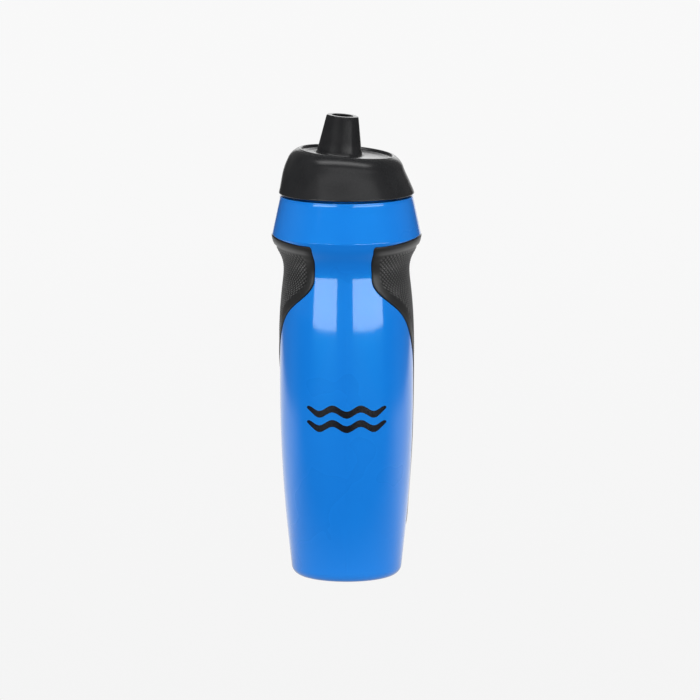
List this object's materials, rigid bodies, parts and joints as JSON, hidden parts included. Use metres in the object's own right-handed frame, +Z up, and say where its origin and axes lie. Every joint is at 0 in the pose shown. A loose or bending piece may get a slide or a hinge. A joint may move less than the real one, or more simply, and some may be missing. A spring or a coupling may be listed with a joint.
{
  "type": "sports squeeze bottle",
  "caption": "Squeeze bottle with a pinched waist, a rubber grip round its back and a screw cap whose leaning spout holds a self-sealing slit valve.",
  "frame": {"origin": "centre of the base, on the surface that the bottle stands on", "axes": "+Z up along the bottle's axis; the front, between the grip's two wings, faces -Y; the cap's top slopes down towards +X"},
  "size_m": [0.0766, 0.076, 0.2363],
  "materials": {
    "bottle": "smooth glossy moulded polyethylene",
    "grip": "matt soft rubber with a fine dot texture",
    "cap": "satin moulded plastic",
    "cap_inner": "satin moulded plastic",
    "seal": "matt silicone",
    "valve": "matt silicone"
  },
  "bodies": {
    "bottle": {"bottle_body": "bottle", "grip_panel": "grip"},
    "cap_seal": {"cap_gasket": "seal"},
    "cap": {"cap_shell": "cap", "cap_core": "cap_inner"},
    "valve": {"valve_carrier": "cap_inner", "carrier_o_ring": "seal", "drink_valve": "valve", "valve_retainer": "cap_inner"},
    "petal_1": {"valve_petal_1": "valve"},
    "petal_2": {"valve_petal_2": "valve"},
    "petal_3": {"valve_petal_3": "valve"},
    "petal_4": {"valve_petal_4": "valve"}
  },
  "joints": [
    {"name": "cap_rise", "type": "slide", "parent": "bottle", "child": "cap_seal", "axis": [0, 0, 1], "range_m": [0, 0.0152]},
    {"name": "cap_turn", "type": "hinge", "parent": "cap_seal", "child": "cap", "pos_m": [0, 0, 0.196], "axis": [0, 0, 1], "range_deg": [0, 1080]},
    {"name": "valve_pull", "type": "slide", "parent": "cap", "child": "valve", "axis": [0.0872, 0, 0.9962], "range_m": [0, 0.014]},
    {"name": "petal_1_open", "type": "hinge", "parent": "valve", "child": "petal_1", "pos_m": [-0.00025, 0, 0.23078], "axis": [0, 1, 0], "range_deg": [0, 60], "stiffness_Nm_per_rad": 0.00005},
    {"name": "petal_2_open", "type": "hinge", "parent": "valve", "child": "petal_2", "pos_m": [-0.00239, 0.00215, 0.23097], "axis": [-0.9962, 0, 0.0872], "range_deg": [0, 60], "stiffness_Nm_per_rad": 0.00005},
    {"name": "petal_3_open", "type": "hinge", "parent": "valve", "child": "petal_3", "pos_m": [-0.00453, 0, 0.23115], "axis": [0, -1, 0], "range_deg": [0, 60], "stiffness_Nm_per_rad": 0.00005},
    {"name": "petal_4_open", "type": "hinge", "parent": "valve", "child": "petal_4", "pos_m": [-0.00239, -0.00215, 0.23097], "axis": [0.9962, 0, -0.0872], "range_deg": [0, 60], "stiffness_Nm_per_rad": 0.00005}
  ],
  "couplings": [
    {"joint": "cap_rise", "follows": "cap_turn", "m_per_rad": 0.00079577},
    {"joint": "petal_2_open", "follows": "petal_1_open", "ratio": 1},
    {"joint": "petal_3_open", "follows": "petal_1_open", "ratio": 1},
    {"joint": "petal_4_open", "follows": "petal_1_open", "ratio": 1}
  ]
}
